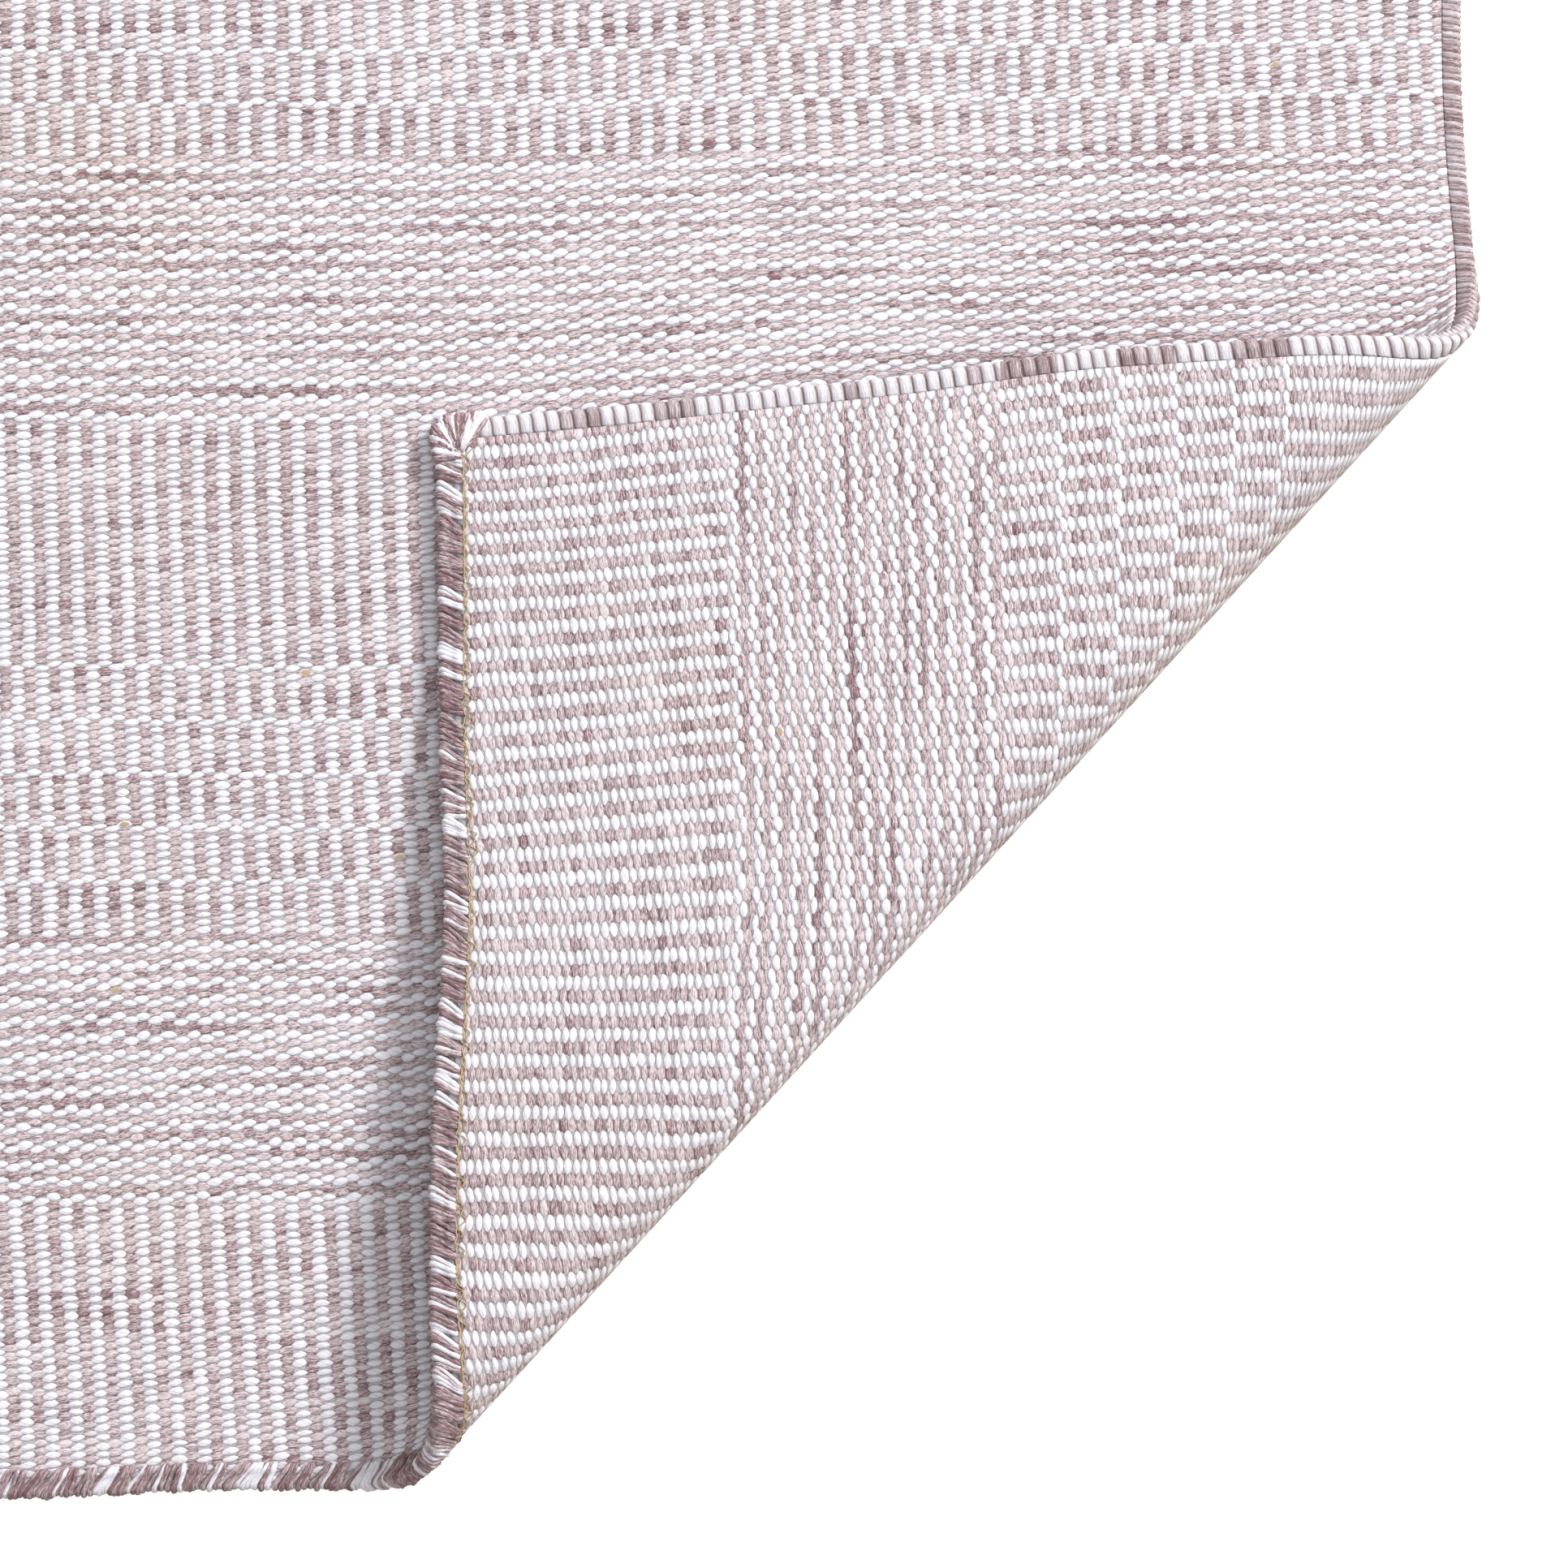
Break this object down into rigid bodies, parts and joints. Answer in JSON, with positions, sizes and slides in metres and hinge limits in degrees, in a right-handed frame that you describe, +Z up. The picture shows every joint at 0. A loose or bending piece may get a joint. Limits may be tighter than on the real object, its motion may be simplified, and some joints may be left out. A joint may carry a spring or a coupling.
{
  "type": "outdoor rug",
  "caption": "Small flat-woven outdoor rug with overcast ends and corded sides, lying flat with one corner turned back to show its underside.",
  "frame": {"origin": "middle of the rug's extent in plan, on the floor plane that its underside rests on", "axes": "+Y along the rug's length away from the end with the turned corner, +X across its width towards that corner, +Z up"},
  "size_m": [0.6142, 0.915, 0.0325],
  "materials": {
    "field_weave": "matte weft-faced weave of ivory and mauve melange yarn",
    "overcast_yarn": "matte soft untwisted yarn bundles",
    "selvedge_yarn": "matte wrapped yarn"
  },
  "bodies": {
    "root": {"rug_field": "field_weave", "end_overcast_near": "overcast_yarn", "end_overcast_far": "overcast_yarn", "selvedge_left": "selvedge_yarn", "selvedge_right": "selvedge_yarn"}
  },
  "joints": []
}
